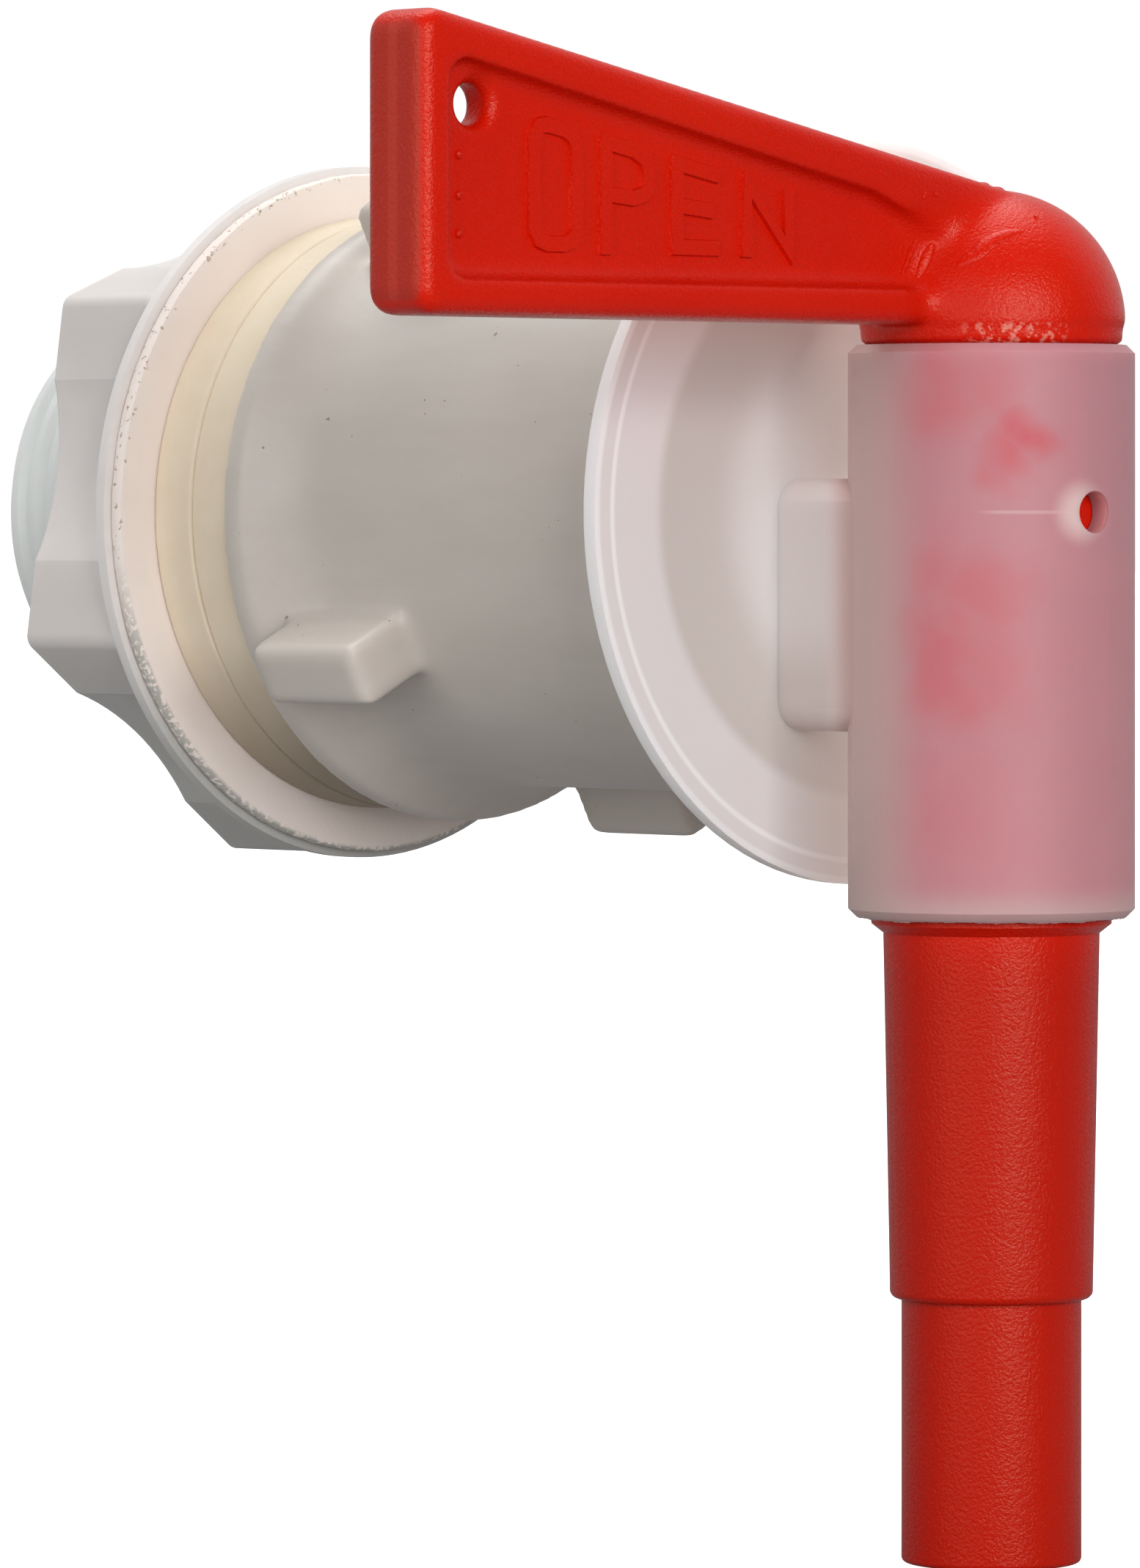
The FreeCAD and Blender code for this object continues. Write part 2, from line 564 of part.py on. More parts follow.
def make_back_nut():
    """A hand nut: a thin round flange, then a hexagon whose flats are scalloped, which
    leaves six lobes at its corners."""
    body = new_body("back_nut")
    blank = cross_sketch(body, "nut_section", NUT_FRONT)
    ring_outline(blank, "sizes.nut_radius")
    ring_outline(blank, SEAT_RADIUS)
    extrude(body, "Pad", "nut_blank", blank, "sizes.nut_length", back=True)

    dress(body, "Chamfer", "nut_lead_in", "sizes.nut_lead_in",
          lambda e: circle_at(e, 1, NUT_BACK, SEAT_RADIUS))

    scallop = cross_sketch(body, "scallop_section", NUT_BACK)
    middle = "(sizes.scallop_floor + sizes.scallop_radius)"
    half_step = "(180 deg / sizes.lobe_count)"
    ring_outline(scallop, "sizes.scallop_radius",
                 x="%s * sin%s" % (middle, half_step), y="%s * cos%s" % (middle, half_step))
    one = extrude(body, "Pocket", "scallop", scallop, "sizes.nut_length - sizes.nut_flange",
                  back=True)
    repeat(body, "scallops", one, "sizes.lobe_count")

    corner = value("sizes.nut_flat / cos%s" % half_step)
    flange_back = value("%s + sizes.nut_flange" % NUT_FRONT)
    hollow = value("sizes.scallop_radius")

    def scallop_end(edge):
        """Edges where a scallop runs out on the flange."""
        box = edge.BoundBox
        level = abs(box.YMin - flange_back) < TOUCH and abs(box.YMax - flange_back) < TOUCH
        curve = curve_of(edge)
        return level and isinstance(curve, Part.Circle) and abs(curve.Radius - hollow) < TOUCH

    dress(body, "Fillet", "scallop_coves", "sizes.scallop_cove", scallop_end)

    flat = cross_sketch(body, "flat_section", NUT_BACK)
    side = "(sizes.nut_flat * tan%s + sizes.lobe_round)" % half_step
    outside = "sizes.nut_radius + sizes.nut_flange"
    outline(flat, [
        ("sizes.nut_flat", "-" + side),
        (outside, "-" + side),
        (outside, side),
        ("sizes.nut_flat", side),
    ])
    one = extrude(body, "Pocket", "flat", flat, "sizes.nut_length - sizes.nut_flange", back=True)
    repeat(body, "flats", one, "sizes.lobe_count")

    def lobe_corner(edge):
        """Straight edges along the nut where two flats meet."""
        centre = edge.CenterOfMass
        return runs_along(edge, 1) and abs(math.hypot(centre.x, centre.z) - corner) < TOUCH

    dress(body, "Fillet", "lobe_corners", "sizes.lobe_round", lobe_corner)

    back_place = value(NUT_BACK)
    bore = value(SEAT_RADIUS) + value("sizes.nut_lead_in")

    def rear_rim(edge):
        """The outer edge of the rear face."""
        box = edge.BoundBox
        ends = [math.hypot(v.X, v.Z) for v in edge.Vertexes]
        flat = abs(box.YMin - back_place) < TOUCH and abs(box.YMax - back_place) < TOUCH
        return flat and min(ends) > bore + TOUCH

    dress(body, "Fillet", "rear_rim", "sizes.nut_edge_round", rear_rim)
    body.Placement = FreeCAD.Placement(
        FreeCAD.Vector(), FreeCAD.Rotation(FreeCAD.Vector(0, -1, 0), 0))
    body.setExpression("Placement.Rotation.Angle", "sizes.nut_turn")
    return body


pieces = [
    make_tap_body(),
    make_lever_spout(),
    make_clamp_collar(),
    make_ring("front_gasket", COLLAR_BACK, "sizes.gasket_thickness",
              "sizes.gasket_radius", "sizes.gasket_round"),
    make_ring("rear_gasket", "0 * sizes.gasket_thickness", "sizes.gasket_thickness",
              "sizes.gasket_radius", "sizes.gasket_round"),
    make_ring("flat_washer", WASHER_FRONT, "sizes.washer_thickness", "sizes.washer_radius"),
    make_back_nut(),
]
doc.recompute()

for item in doc.Objects:
    if "Invalid" in item.State or "Error" in item.State:
        raise RuntimeError("%s is %s" % (item.Name, item.State))

os.makedirs("parts", exist_ok=True)
for piece in pieces:
    shape = piece.Shape
    if shape.isNull() or not shape.isValid() or len(shape.Solids) != 1:
        raise RuntimeError(piece.Label + " is not one valid solid")
    shape.exportStep("parts/%s.step" % piece.Label)
    box = shape.BoundBox
    print("%-13s %8.1f mm3  x %6.1f %6.1f  y %6.1f %6.1f  z %6.1f %6.1f" % (
        piece.Label, shape.Volume, box.XMin, box.XMax, box.YMin, box.YMax, box.ZMin, box.ZMax))
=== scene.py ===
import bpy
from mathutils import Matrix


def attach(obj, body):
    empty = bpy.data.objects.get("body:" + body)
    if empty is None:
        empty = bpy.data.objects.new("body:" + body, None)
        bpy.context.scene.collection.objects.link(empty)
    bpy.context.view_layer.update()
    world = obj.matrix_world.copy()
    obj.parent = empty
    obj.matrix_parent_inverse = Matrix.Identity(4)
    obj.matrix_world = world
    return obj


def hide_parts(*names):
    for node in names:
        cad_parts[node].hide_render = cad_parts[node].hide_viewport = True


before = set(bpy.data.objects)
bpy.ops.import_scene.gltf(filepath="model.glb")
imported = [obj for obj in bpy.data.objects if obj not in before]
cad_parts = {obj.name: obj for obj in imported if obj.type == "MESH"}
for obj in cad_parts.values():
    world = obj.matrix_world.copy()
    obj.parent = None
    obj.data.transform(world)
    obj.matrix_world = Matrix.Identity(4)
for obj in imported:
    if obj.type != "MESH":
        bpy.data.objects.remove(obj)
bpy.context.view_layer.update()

import math

import bmesh
import bpy
import numpy as np
from mathutils import Vector
from mathutils.bvhtree import BVHTree

# Studio. The camera stands where the photograph was taken: level with the stem,
# 492 mm from the plug, 43 degrees round from square. The frame hangs low round it.
MM = 0.001
IN_MM = 1000.0
PHOTO_WIDTH = 1554
PHOTO_HEIGHT = 2137
FOCAL_PIXELS = 12500.0
HORIZON_ROW = 698.0
CAMERA_PLACE = (-0.3525, -0.3902, 0.0)
CAMERA_TURN = -43.06
SENSOR = 36.0

camera_data = bpy.data.cameras.new("camera")
camera_data.sensor_width = SENSOR
camera_data.lens = FOCAL_PIXELS / PHOTO_HEIGHT * SENSOR
camera_data.shift_y = (HORIZON_ROW - PHOTO_HEIGHT / 2) / PHOTO_HEIGHT
camera_data.clip_start = 0.01
camera_data.clip_end = 20
camera = bpy.data.objects.new("camera", camera_data)
camera.location = CAMERA_PLACE
camera.rotation_euler = (math.radians(90), 0, math.radians(CAMERA_TURN))
bpy.context.scene.collection.objects.link(camera)
bpy.context.scene.camera = camera
bpy.context.scene.view_settings.view_transform = "Standard"


class Wire:
    """A shader value. Arithmetic on it adds Math nodes; feed() joins it to a socket."""

    def __init__(self, tree, socket):
        self.tree = tree
        self.socket = socket

    def math(self, operation, *others, clamp=False):
        """The Math node for an operation on this value and the others."""
        node = self.tree.nodes.new("ShaderNodeMath")
        node.operation = operation
        node.use_clamp = clamp
        for socket, value in zip(node.inputs, (self,) + others):
            feed(self.tree, socket, value)
        return Wire(self.tree, node.outputs[0])

    def __add__(self, other):
        return self.math("ADD", other)

    __radd__ = __add__

    def __mul__(self, other):
        return self.math("MULTIPLY", other)

    __rmul__ = __mul__

    def __sub__(self, other):
        return self.math("SUBTRACT", other)

    def __rsub__(self, other):
        return (self * -1.0).math("ADD", other)

    def root(self):
        """The square root."""
        return self.math("SQRT")

    def either(self, other):
        """The larger of two masks."""
        return self.math("MAXIMUM", other)


def feed(tree, socket, value):
    """Links a wire to a socket, or sets the socket's own number or colour."""
    if isinstance(value, Wire):
        tree.links.new(value.socket, socket)
    elif isinstance(value, tuple) and len(value) == 3 and socket.type == "RGBA":
        socket.default_value = value + (1.0,)
    else:
        socket.default_value = value


class Nodes:
    """A shader tree under construction."""

    def __init__(self, tree):
        self.tree = tree

    def node(self, kind, settings=None, inputs=None, output=0):
        """Any node: its settings first, then the values or links of its sockets."""
        node = self.tree.nodes.new("ShaderNode" + kind)
        for key, value in (settings or {}).items():
            setattr(node, key, value)
        for key, value in (inputs or {}).items():
            feed(self.tree, node.inputs[key], value)
        return Wire(self.tree, node.outputs[output])

    def step(self, value, low, high):
        """A soft step from 0 at low to 1 at high, either way round."""
        return self.node("MapRange", {"interpolation_type": "SMOOTHSTEP"}, {
            "Value": value, "From Min": low, "From Max": high})

    def mix(self, mask, under, over):
        """One colour over another, by a mask."""
        return self.node("Mix", {"data_type": "RGBA"}, {0: mask, 6: under, 7: over}, output=2)


class Finish(Nodes):
    """A material with one Principled shader, painted by the place on the piece."""

    def __init__(self, name, **fixed):
        self.material = bpy.data.materials.new(name)
        self.material.use_nodes = True
        super().__init__(self.material.node_tree)
        self.shader = self.tree.nodes["Principled BSDF"]
        for socket, value in fixed.items():
            self.set(socket.replace("_", " "), value)

    def set(self, socket, value):
        """Feeds one socket of the Principled shader."""
        feed(self.tree, self.shader.inputs[socket], value)

    def place(self):
        """The point on the piece as three wires, in millimetres."""
        point = self.node("TexCoord", output="Object")
        return [self.node("SeparateXYZ", inputs={0: point}, output=axis) * IN_MM for axis in range(3)]

    def stretched(self, x=1.0, y=1.0, z=1.0):
        """Object coordinates in millimetres, squeezed by a factor along each axis."""
        point = self.node("TexCoord", output="Object")
        return self.node("Mapping", inputs={
            "Vector": point, "Scale": (IN_MM * x, IN_MM * y, IN_MM * z)})

    def noise(self, scale, detail=3.0, rough=0.5, vector=None):
        """Cloudy noise from 0 to 1, with this many lumps to a millimetre."""
        vector = vector or self.stretched()
        return self.node("TexNoise", inputs={
            "Vector": vector, "Scale": scale, "Detail": detail, "Roughness": rough})

    def spot(self, centre, radius, soft=0.8, wander=0.0):
        """A soft mask about a point of the piece, round unless its edge wanders, in millimetres."""
        distance = self.node("VectorMath", {"operation": "DISTANCE"}, {
            0: self.stretched(), 1: centre}, output="Value") + wander
        return self.step(distance, radius * (1 + soft), radius * (1 - soft))

    def bump(self, height, strength, distance):
        """Feeds a height, in millimetres times distance, to the shader's normal."""
        self.set("Normal", self.node("Bump", inputs={
            "Height": height, "Strength": strength, "Distance": distance * MM}))


# The floor keeps its shadow, is lifted to white for the camera, and whitens with distance
# so that no horizon shows. It sends only a little light back up.
FLOOR_DROP = 0.0575
FLOOR_SPAN = 6.0
FLOOR_DIM = (0.27,) * 3
FLOOR_PALE = (0.8,) * 3
FLOOR_GLOW = (0.75,) * 3
BLACK = (0.0,) * 3
WHITE = (1.0,) * 3
NEAR_FLOOR = 150.0
FAR_FLOOR = 700.0

pale = Finish("pale_floor", Roughness=0.9, Specular_IOR_Level=0.0, Emission_Strength=1.0)
seen = pale.node("LightPath", output="Is Camera Ray")
x, y, z = pale.place()
far = pale.step((x * x + y * y).root(), NEAR_FLOOR, FAR_FLOOR)
pale.set("Base Color", pale.mix(seen, FLOOR_DIM, FLOOR_PALE))
pale.set("Emission Color", pale.mix(seen, BLACK, pale.mix(far, FLOOR_GLOW, WHITE)))
floor_mesh = bpy.data.meshes.new("floor")
floor_mesh.from_pydata(
    [(x * FLOOR_SPAN, y * FLOOR_SPAN, -FLOOR_DROP) for x, y in ((-1, -1), (1, -1), (1, 1), (-1, 1))],
    [], [(0, 1, 2, 3)])
floor = bpy.data.objects.new("floor", floor_mesh)
bpy.context.scene.collection.objects.link(floor)
floor_mesh.materials.append(pale.material)

# The room is a white backdrop behind the object and dim on the camera's side.
DIM_ROOM = 0.10
WHITE_ROOM = 0.62
BACKDROP_WAY = (0.683, 0.731, 0.25)
BACKDROP_SPREAD = 1.3
BACKDROP_LIFT = 0.15

world = bpy.data.worlds.new("studio")
bpy.context.scene.world = world
world.use_nodes = True
sky = Nodes(world.node_tree)
behind = sky.node("VectorMath", {"operation": "DOT_PRODUCT"}, {
    0: sky.node("TexCoord", output="Generated"), 1: BACKDROP_WAY}, output="Value")
behind = behind.math("MULTIPLY_ADD", BACKDROP_SPREAD, BACKDROP_LIFT, clamp=True)
room = behind * (WHITE_ROOM - DIM_ROOM) + DIM_ROOM
straight = sky.node("LightPath", output="Is Camera Ray").either(
    sky.node("LightPath", output="Is Transmission Ray"))
background = world.node_tree.nodes["Background"]
background.inputs["Color"].default_value = WHITE + (1.0,)
feed(sky.tree, background.inputs["Strength"], straight * (1 - room) + room)


def lamp(name, place, aim, width, height, watts):
    """A soft light at a place, turned towards a point, with its width level."""
    data = bpy.data.lights.new(name, "AREA")
    data.shape = "RECTANGLE"
    data.size = width
    data.size_y = height
    data.energy = watts
    light = bpy.data.objects.new(name, data)
    light.location = place
    light.rotation_euler = (Vector(aim) - Vector(place)).to_track_quat("-Z", "Y").to_euler()
    bpy.context.scene.collection.objects.link(light)


lamp("top_light", (0.10, 0.20, 0.75), (0, -0.02, 0), 0.7, 0.7, 4.3)
lamp("left_light", (-0.78, -0.16, 0.10), (0, -0.02, 0), 0.8, 0.8, 3.6)
lamp("front_light", (-0.30, -0.86, 0.20), (0, -0.04, 0.005), 0.6, 0.42, 5.6)


# Tap body: one moulding in natural, slightly milky plastic. The sleeve shows the red
# plug behind its wall, and the disc shows the collar and the hollow stem behind it.
# The 1.5 mm thread is cut along the stem with one long V-shaped groove.
PLUG_Y = -46.1
THREAD_PITCH = 1.5
THREAD_TOP = 12.0
THREAD_DEPTH = 0.5
GROOVE_SHARE = 0.44
GROOVE_OVERRUN = 0.4
THREAD_START = 2.0
THREAD_END = 24.5
TURN_STEPS = 72
MERGE_DISTANCE = 2e-6


def new_piece(name, points, faces):
    """An object at the origin whose mesh has these points, in millimetres, and faces."""
    mesh = bpy.data.meshes.new(name)
    faces = faces if isinstance(faces, list) else faces.tolist()
    mesh.from_pydata((np.asarray(points, float) * MM).tolist(), [], faces)
    mesh.update()
    piece = bpy.data.objects.new(name, mesh)
    bpy.context.scene.collection.objects.link(piece)
    return piece


def points_of(mesh):
    """The points of a mesh, in millimetres."""
    points = np.empty(len(mesh.vertices) * 3)
    mesh.vertices.foreach_get("co", points)
    return points.reshape(-1, 3) / MM


def faces_of(mesh):
    """The faces of a mesh, as lists of point numbers."""
    corners = np.empty(len(mesh.loops), int)
    mesh.loops.foreach_get("vertex_index", corners)
    starts = np.empty(len(mesh.polygons), int)
    mesh.polygons.foreach_get("loop_start", starts)
    return [face.tolist() for face in np.split(corners, starts[1:])]


def grid_faces(rows, columns, rows_close=False, columns_close=False):
    """Quads of a grid of rows by columns, joined end to end where it closes."""
    r = np.arange(rows if rows_close else rows - 1)
    c = np.arange(columns if columns_close else columns - 1)
    r, c = [a.ravel() for a in np.meshgrid(r, c, indexing="ij")]
    r2, c2 = (r + 1) % rows, (c + 1) % columns
    return np.stack([r * columns + c, r * columns + c2, r2 * columns + c2, r2 * columns + c], 1)


def face_outwards(mesh):
    """Turns every face of a mesh of closed shells outwards."""
    work = bmesh.new()
    work.from_mesh(mesh)
    bmesh.ops.recalc_face_normals(work, faces=work.faces)
    work.to_mesh(mesh)
    work.free()


def merged_copy(node, name):
    """A copy of a CAD node with its loose triangles joined at their corners."""
    work = bmesh.new()
    work.from_mesh(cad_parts[node].data)
    bmesh.ops.remove_doubles(work, verts=work.verts, dist=MERGE_DISTANCE)
    bare = bpy.data.meshes.new("bare")
    work.to_mesh(bare)
    work.free()
    piece = new_piece(name, points_of(bare), faces_of(bare))
    bpy.data.meshes.remove(bare)
    return piece


def apply_modifiers(piece):
    """Puts the result of the piece's modifiers into its own mesh."""
    bpy.context.view_layer.update()
    done = piece.evaluated_get(bpy.context.evaluated_depsgraph_get())
    mesh = bpy.data.meshes.new_from_object(done)
    piece.modifiers.clear()
    piece.data = mesh


def soften(piece, degrees):
    """Smooth shading, with hard edges where faces meet at more than an angle."""
    piece.data.shade_smooth()
    piece.data.set_sharp_from_angle(angle=math.radians(degrees))


def groove_cutter():
    """A three-sided rod bent into a helix: at a turn t it stands at y = start + pitch * t,
    with its point at the groove's root and its open side outside the crests."""
    turns = (THREAD_END - THREAD_START) / THREAD_PITCH
    t = np.linspace(0, turns, int(turns * TURN_STEPS))
    half = THREAD_PITCH * GROOVE_SHARE
    over = THREAD_DEPTH * GROOVE_OVERRUN
    section = np.array([(THREAD_TOP + over, -half), (THREAD_TOP - THREAD_DEPTH, 0),
                        (THREAD_TOP + over, half)])
    angle = 2 * np.pi * t[:, None]
    radius = section[None, :, 0]
    y = THREAD_START + THREAD_PITCH * t[:, None] + section[None, :, 1]
    points = np.stack([radius * np.cos(angle), y, -radius * np.sin(angle)], -1).reshape(-1, 3)
    faces = grid_faces(len(t), 3, columns_close=True).tolist()
    last = 3 * (len(t) - 1)
    faces += [[0, 2, 1], [last, last + 1, last + 2]]
    cutter = new_piece("groove_cutter", points, faces)
    face_outwards(cutter.data)
    return cutter


def joined(name, parts):
    """One piece from parts that are each a set of points and a list of faces."""
    points = np.concatenate([np.asarray(some, float) for some, _ in parts])
    faces, start = [], 0
    for some, part_faces in parts:
        faces += [[start + corner for corner in face] for face in part_faces]
        start += len(some)
    piece = new_piece(name, points, faces)
    face_outwards(piece.data)
    return piece


def parts_of(piece):
    """The points and faces of an object, which is then removed."""
    points, faces = points_of(piece.data), faces_of(piece.data)
    bpy.data.objects.remove(piece)
    return points, faces


tap = merged_copy("tap_body", "tap_cut")
cutter = groove_cutter()
cut = tap.modifiers.new("thread", "BOOLEAN")
cut.operation = "DIFFERENCE"
cut.solver = "EXACT"
cut.object = cutter
apply_modifiers(tap)
bpy.data.objects.remove(cutter)

# A ragged fringe of flash under 0.3 mm high stands round the sleeve's lower edge.
FLASH_STEPS = 600
SLEEVE_FOOT = -21.7
FLASH_OUT = 7.15
FLASH_WIDE = 0.12
FLASH_LEAN = 0.05
FLASH_MOST = 0.3
WAVES = (5, 9, 17, 31, 53, 97, 161, 233)


def ragged(angle, seed, size):
    """A sum of waves round the ring, from coarse to fine, with random phases: each wave's
    height is its share, at random, over its number to the power of 0.35."""
    draw = np.random.default_rng(seed)
    total = np.zeros_like(angle)
    for waves in WAVES:
        phase = draw.uniform(0, 6.283)
        total += np.sin(waves * angle + phase) * draw.uniform(0.5, 1.0) / waves ** 0.35
    return total * size


angle = np.linspace(0, 2 * np.pi, FLASH_STEPS, endpoint=False)
drop = np.clip(0.05 + ragged(angle, 21, 0.055), 0.01, FLASH_MOST)
lean = ragged(angle, 22, 0.02)
# Each corner of the fringe's section is a radius, a height above the sleeve's foot, and how
# far it follows the ragged edge.
section = ((FLASH_OUT - FLASH_WIDE, 0.1, 0.0), (FLASH_OUT, 0.1, 0.0),
           (FLASH_OUT, 0.0, 0.4), (FLASH_OUT - FLASH_LEAN, 0.0, 1.0))
fringe = np.stack([np.stack([
    (radius + bend * lean) * np.cos(angle), PLUG_Y + (radius + bend * lean) * np.sin(angle),
    SLEEVE_FOOT + rise - bend * drop], -1) for radius, rise, bend in section], 1)
flash = new_piece("sleeve_flash", fringe.reshape(-1, 3), grid_faces(FLASH_STEPS, 4, True, True))
tap = joined("tap_moulding", [parts_of(tap), parts_of(flash)])
soften(tap, 32)

# Colours of the plastic, of the disc over open air, over the collar and over the stem's
# bore, of the painted highlight along the disc's rim, of the painted shade under the neck, and of the
# painted glow of light that comes through the walls of neck and disc.
NATURAL = ((0.74, 0.71, 0.69), (0.80, 0.78, 0.77))
STEM_TINT = (0.84, 0.87, 0.85)
DISC_OPEN = (0.70, 0.665, 0.66)
DISC_RIM_HIGHLIGHT = (0.84, 0.82, 0.82)
DISC_ON_COLLAR = (0.565, 0.515, 0.49)
DISC_ON_BORE = (0.66, 0.63, 0.615)
DISC_SHADE = (0.42, 0.38, 0.36)
DISC_GLOW = (0.29, 0.25, 0.225)
NECK_GLOW = (0.05, 0.025, 0.022)
# Colours of the sleeve over the red plug, and where there is less of the plug behind it.
PINK = ((0.535, 0.235, 0.263), (0.585, 0.272, 0.300))
TOUCHING = (0.62, 0.115, 0.14)
PALE_FOOT = (0.58, 0.43, 0.41)
PALE_SIDE = (0.60, 0.445, 0.415)
DULL_PATCH = (0.48, 0.24, 0.27)
PARTING_HIGHLIGHT = (0.85, 0.66, 0.66)
VENT_HALO_LIGHT = (0.86, 0.66, 0.62)
VENT_WALL_REFLECTION = (0.72, 0.36, 0.36)
SLEEVE_OUT = 7.7
VENT = (0.0, PLUG_Y - SLEEVE_OUT, 0.0)
# Where the plug touches the sleeve: across the line of sight of the camera's place, up, the
# radius of the patch, and its strength.
SIGHT = (0.683, 0.731)
ACROSS = (0.731, -0.683)
CONTACTS = (
    (-3.6, 5.6, 1.9, 0.4), (-2.4, 6.2, 1.9, 0.5), (-0.9, 6.6, 1.9, 0.4), (1.5, 4.0, 1.3, 0.95),
    (0.7, 3.2, 1.3, 0.8), (-3.0, -3.0, 2.0, 0.4), (-1.5, -4.4, 2.4, 0.5), (-2.2, -5.8, 2.2, 0.5),
    (-2.6, -7.4, 2.3, 0.6), (-2.7, -9.3, 2.2, 0.6), (-1.2, -8.0, 2.8, 0.4), (-2.4, -16.0, 3.2, 0.25))

milk = Finish(
    "natural_tap", Specular_IOR_Level=0.32, Subsurface_Weight=0.5, Subsurface_Scale=0.002,
    Subsurface_Radius=(1.0, 0.8, 0.75), Emission_Strength=1.0, Sheen_Weight=0.12,
    Sheen_Roughness=0.35, Sheen_Tint=(0.85, 0.82, 0.80))
x, y, z = milk.place()
from_plug = (x * x + (y - PLUG_Y) * (y - PLUG_Y)).root()
from_stem = (x * x + z * z).root()
clouds = milk.noise(0.16, 2.0)
on_sleeve = milk.step(from_plug, 9.2, 7.75)
on_disc = milk.step(y, -34.9, -35.3) * (1 - on_sleeve)
on_collar = milk.step(from_stem, 16.0, 15.0)
on_bore = milk.step(from_stem, 11.8, 8.6)
# Painted highlight along the disc's rim edge and along a pale line just inside it.
rim_highlight = milk.step(from_stem, 19.75, 20.0).either(
    milk.step(from_stem, 18.7, 18.9) * milk.step(from_stem, 19.2, 19.0))
# Painted shade on the disc under the neck.
under_neck = milk.spot((-2.0, -36.2, -17.0), 3.2, 0.9)
disc_tone = milk.mix(rim_highlight, DISC_OPEN, DISC_RIM_HIGHLIGHT)
disc_tone = milk.mix(on_collar, disc_tone, DISC_ON_COLLAR)
disc_tone = milk.mix(on_bore, disc_tone, DISC_ON_BORE)
disc_tone = milk.mix(under_neck * 0.35, disc_tone, DISC_SHADE)
tone = milk.mix(clouds, *NATURAL)
tone = milk.mix(milk.step(y, 3.0, 5.0), tone, STEM_TINT)
tone = milk.mix(on_disc, tone, disc_tone)

sideways = x * ACROSS[0] + (y - PLUG_Y) * ACROSS[1]
wander = (milk.noise(0.35, 1.5) - 0.5) * 4.0
touch = None
for across, up, radius, strength in CONTACTS:
    depth = -math.sqrt(SLEEVE_OUT ** 2 - across ** 2)
    middle = (across * ACROSS[0] + depth * SIGHT[0],
              PLUG_Y + across * ACROSS[1] + depth * SIGHT[1], up)
    mask = milk.spot(middle, radius, 0.95, wander) * strength
    touch = mask if touch is None else touch.either(mask)
at_foot = milk.step(z, -19.6, -21.4)
at_side = milk.step(sideways, -3.4, -7.2)
in_patch = milk.step(sideways, 4.0, 5.0) * milk.step(z, 9.5, 7.0) * milk.step(z, -3.5, -1.0)
# Painted highlight along the sleeve's parting line, on its front only.
parting_highlight = (milk.step(z, -0.14, -0.03) * milk.step(z, 0.14, 0.03)
              * milk.step(sideways, -1.4, 0.2) * milk.step(sideways, 4.6, 2.2))
# Painted light: a pale halo beside the vent, and a painted red reflection of the plug on the vent's wall.
vent_halo = milk.spot((-1.0, VENT[1], VENT[2]), 1.3, 0.6)
in_vent = milk.spot(VENT, 1.3, 0.2) * milk.step(from_plug, 7.62, 7.5)
pink = milk.mix(clouds, *PINK)
pink = milk.mix(touch, pink, TOUCHING)
pink = milk.mix(at_foot * 0.6, pink, PALE_FOOT)
pink = milk.mix(at_side * 0.85, pink, PALE_SIDE)
pink = milk.mix(in_patch * 0.35, pink, DULL_PATCH)
pink = milk.mix(parting_highlight * 0.3, pink, PARTING_HIGHLIGHT)
pink = milk.mix(vent_halo * 0.7, pink, VENT_HALO_LIGHT)
pink = milk.mix(in_vent, pink, VENT_WALL_REFLECTION)
milk.set("Base Color", milk.mix(on_sleeve, tone, pink))

# Painted glow: emission stands in for light coming through the neck's walls and for light filling the disc's
# shade beside the sleeve and near the lever.
on_neck = milk.step(y, -36.7, -37.0) * (1 - on_sleeve)
near_sleeve = milk.step((x * x).root(), 7.0, 1.0)
near_lever = milk.step(z, 6.0, 11.5) * 0.6
through_disc = on_disc * near_sleeve.either(near_lever) * 0.9 + on_disc * 0.1
milk.set("Emission Color", milk.mix(on_neck, milk.mix(through_disc, BLACK, DISC_GLOW), NECK_GLOW))
milk.set("Roughness", 0.42 + milk.noise(0.6, 4.0) * 0.2)
milk.bump(milk.noise(2.2, 2.0), 0.2, 0.04)
tap.data.materials.append(milk.material)
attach(tap, "tap")
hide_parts("tap_body")


# Lever and spout: one red moulding. The lever's panel carries the word OPEN in thin
# raised outline, three small bumps and a hole; its foot swells into the round boss. The
# part above the split is remeshed and relaxed, which gives the foot its soft swelling.
SPLIT = 8.3
VOXEL = 0.16
EDGE_ROUNDS = 9
SMOOTH_ROUNDS = 130
HALF_WAY = 0.5
LAP = 0.05
RIDGE_AT_PLUG = 17.5
RIDGE_SLOPE = -0.185


def relaxed(points, edges, weight, rounds):
    """Each point moves towards the mean of its neighbours, by its own weight, again and again."""
    ends = np.concatenate([edges, edges[:, ::-1]])
    ends = ends[weight[ends[:, 0]] > 0]
    count = np.maximum(np.bincount(ends[:, 0], minlength=len(points)), 1)
    for _ in range(rounds):
        mean = np.stack([np.bincount(ends[:, 0], points[ends[:, 1], i], len(points))
                         for i in range(3)], 1) / count[:, None]
        points = points + weight[:, None] * (mean - points)
    return points


def edges_of(mesh):
    """The edges of a mesh, as pairs of point numbers."""
    edges = np.empty(len(mesh.edges) * 2, int)
    mesh.edges.foreach_get("vertices", edges)
    return edges.reshape(-1, 2)


def remeshed(piece, voxel):
    """Gives a piece an even mesh of small squares; returns its points and edges."""
    even = piece.modifiers.new("even", "REMESH")
    even.mode = "VOXEL"
    even.voxel_size = voxel * MM
    apply_modifiers(piece)
    return points_of(piece.data), edges_of(piece.data)


def reshape(piece, points):
    """Moves the points of a piece, given in millimetres, and shades it smooth."""
    piece.data.vertices.foreach_set("co", (points * MM).ravel())
    piece.data.update()
    piece.data.shade_smooth()


